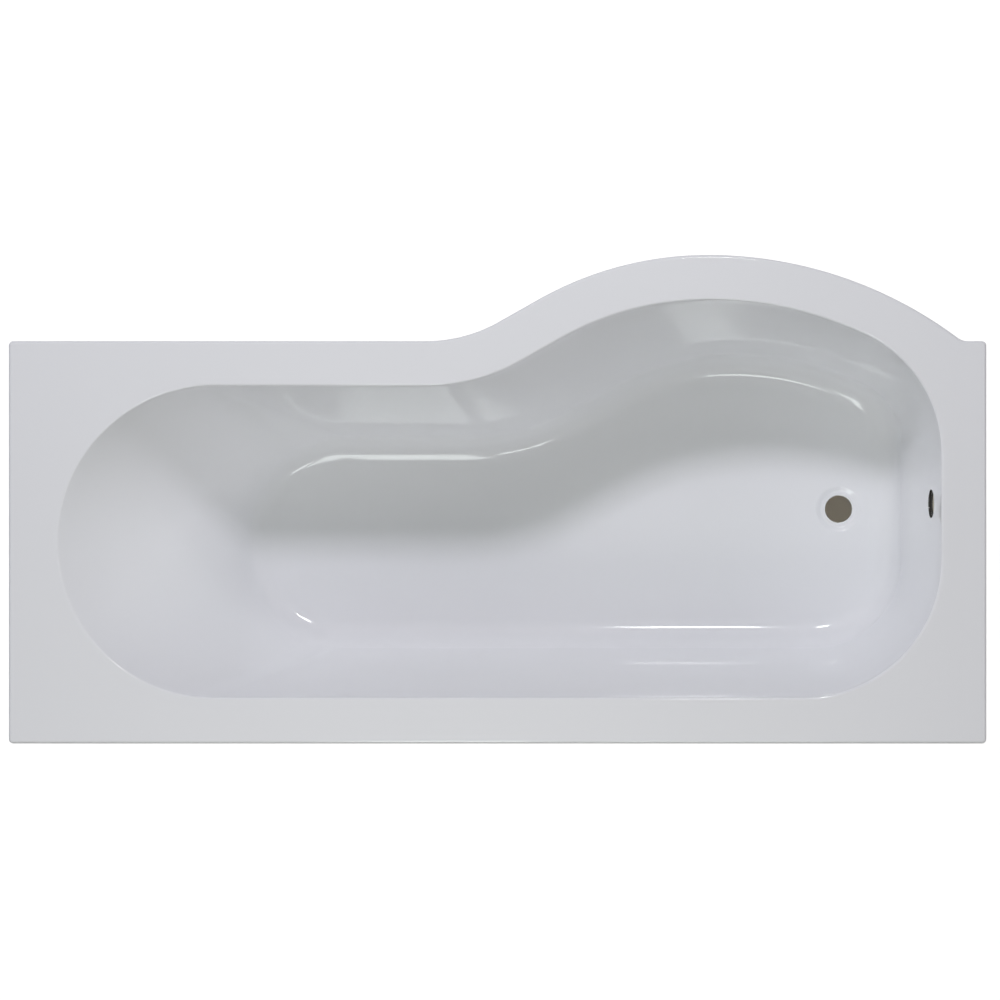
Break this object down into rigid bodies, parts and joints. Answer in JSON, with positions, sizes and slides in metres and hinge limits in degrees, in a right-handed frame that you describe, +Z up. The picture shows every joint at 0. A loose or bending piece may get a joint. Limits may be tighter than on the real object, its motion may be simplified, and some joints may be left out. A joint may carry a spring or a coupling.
{
  "type": "shower bath",
  "caption": "P-shaped left-hand acrylic shower bath with a bulged standing area, sloping backrest, waste and overflow holes, stiffened underside and screw-adjustable legs.",
  "frame": {"origin": "on the ground, under the middle of the rim's length and of its greatest width", "axes": "+X from the head end to the tap end, +Y from the wall to the open bulged side, +Z up"},
  "size_m": [1.7, 0.85, 0.56],
  "materials": {
    "acrylic": "glossy white vacuum-formed acrylic",
    "glass_fibre": "rough sprayed glass fibre and resin",
    "chipboard": "raw chipboard",
    "softwood": "sawn softwood",
    "plywood": "cut plywood",
    "zinc_steel": "zinc-plated pressed steel",
    "screw_steel": "yellow-passivated screw steel",
    "stud_steel": "zinc-plated threaded steel",
    "foot_plastic": "moulded black plastic"
  },
  "bodies": {
    "bath": {"acrylic_shell": "acrylic", "glass_fibre_coat": "glass_fibre", "base_board": "chipboard", "wall_batten": "softwood", "head_batten": "softwood", "tap_batten": "softwood", "front_batten": "softwood", "bulge_batten": "plywood", "head_rail": "zinc_steel", "tap_rail": "zinc_steel", "centre_bracket": "zinc_steel", "rail_screws": "screw_steel", "centre_screws": "screw_steel", "head_wall_bracket": "zinc_steel", "tap_wall_bracket": "zinc_steel", "bracket_screws": "screw_steel"},
    "head_wall_leg": {"head_wall_leg_stud": "stud_steel", "head_wall_leg_foot": "foot_plastic"},
    "head_wall_nuts": {"head_wall_leg_adjusting_nut": "stud_steel", "head_wall_leg_lock_nut": "stud_steel"},
    "head_front_leg": {"head_front_leg_stud": "stud_steel", "head_front_leg_foot": "foot_plastic"},
    "head_front_nuts": {"head_front_leg_adjusting_nut": "stud_steel", "head_front_leg_lock_nut": "stud_steel"},
    "tap_wall_leg": {"tap_wall_leg_stud": "stud_steel", "tap_wall_leg_foot": "foot_plastic"},
    "tap_wall_nuts": {"tap_wall_leg_adjusting_nut": "stud_steel", "tap_wall_leg_lock_nut": "stud_steel"},
    "tap_front_leg": {"tap_front_leg_stud": "stud_steel", "tap_front_leg_foot": "foot_plastic"},
    "tap_front_nuts": {"tap_front_leg_adjusting_nut": "stud_steel", "tap_front_leg_lock_nut": "stud_steel"},
    "centre_leg": {"centre_leg_stud": "stud_steel", "centre_leg_foot": "foot_plastic"},
    "centre_nuts": {"centre_leg_adjusting_nut": "stud_steel", "centre_leg_lock_nut": "stud_steel"}
  },
  "joints": [
    {"name": "head_wall_leg_height", "type": "slide", "parent": "bath", "child": "head_wall_leg", "axis": [0, 0, -1], "range_m": [-0.02, 0.02]},
    {"name": "head_wall_nuts_turn", "type": "hinge", "parent": "bath", "child": "head_wall_nuts", "pos_m": [-0.26, -0.345, 0.14], "axis": [0, 0, 1], "range_deg": [-4800, 4800]},
    {"name": "head_front_leg_height", "type": "slide", "parent": "bath", "child": "head_front_leg", "axis": [0, 0, -1], "range_m": [-0.02, 0.02]},
    {"name": "head_front_nuts_turn", "type": "hinge", "parent": "bath", "child": "head_front_nuts", "pos_m": [-0.26, 0.195, 0.14], "axis": [0, 0, 1], "range_deg": [-4800, 4800]},
    {"name": "tap_wall_leg_height", "type": "slide", "parent": "bath", "child": "tap_wall_leg", "axis": [0, 0, -1], "range_m": [-0.02, 0.02]},
    {"name": "tap_wall_nuts_turn", "type": "hinge", "parent": "bath", "child": "tap_wall_nuts", "pos_m": [0.44, -0.345, 0.14], "axis": [0, 0, 1], "range_deg": [-4800, 4800]},
    {"name": "tap_front_leg_height", "type": "slide", "parent": "bath", "child": "tap_front_leg", "axis": [0, 0, -1], "range_m": [-0.02, 0.02]},
    {"name": "tap_front_nuts_turn", "type": "hinge", "parent": "bath", "child": "tap_front_nuts", "pos_m": [0.44, 0.335, 0.14], "axis": [0, 0, 1], "range_deg": [-4800, 4800]},
    {"name": "centre_leg_height", "type": "slide", "parent": "bath", "child": "centre_leg", "axis": [0, 0, -1], "range_m": [-0.02, 0.02]},
    {"name": "centre_nuts_turn", "type": "hinge", "parent": "bath", "child": "centre_nuts", "pos_m": [0.09, -0.075, 0.14], "axis": [0, 0, 1], "range_deg": [-4800, 4800]}
  ],
  "couplings": [
    {"joint": "head_wall_nuts_turn", "follows": "head_wall_leg_height", "rad_per_m": 4188.8},
    {"joint": "head_front_nuts_turn", "follows": "head_front_leg_height", "rad_per_m": 4188.8},
    {"joint": "tap_wall_nuts_turn", "follows": "tap_wall_leg_height", "rad_per_m": 4188.8},
    {"joint": "tap_front_nuts_turn", "follows": "tap_front_leg_height", "rad_per_m": 4188.8},
    {"joint": "centre_nuts_turn", "follows": "centre_leg_height", "rad_per_m": 4188.8}
  ]
}
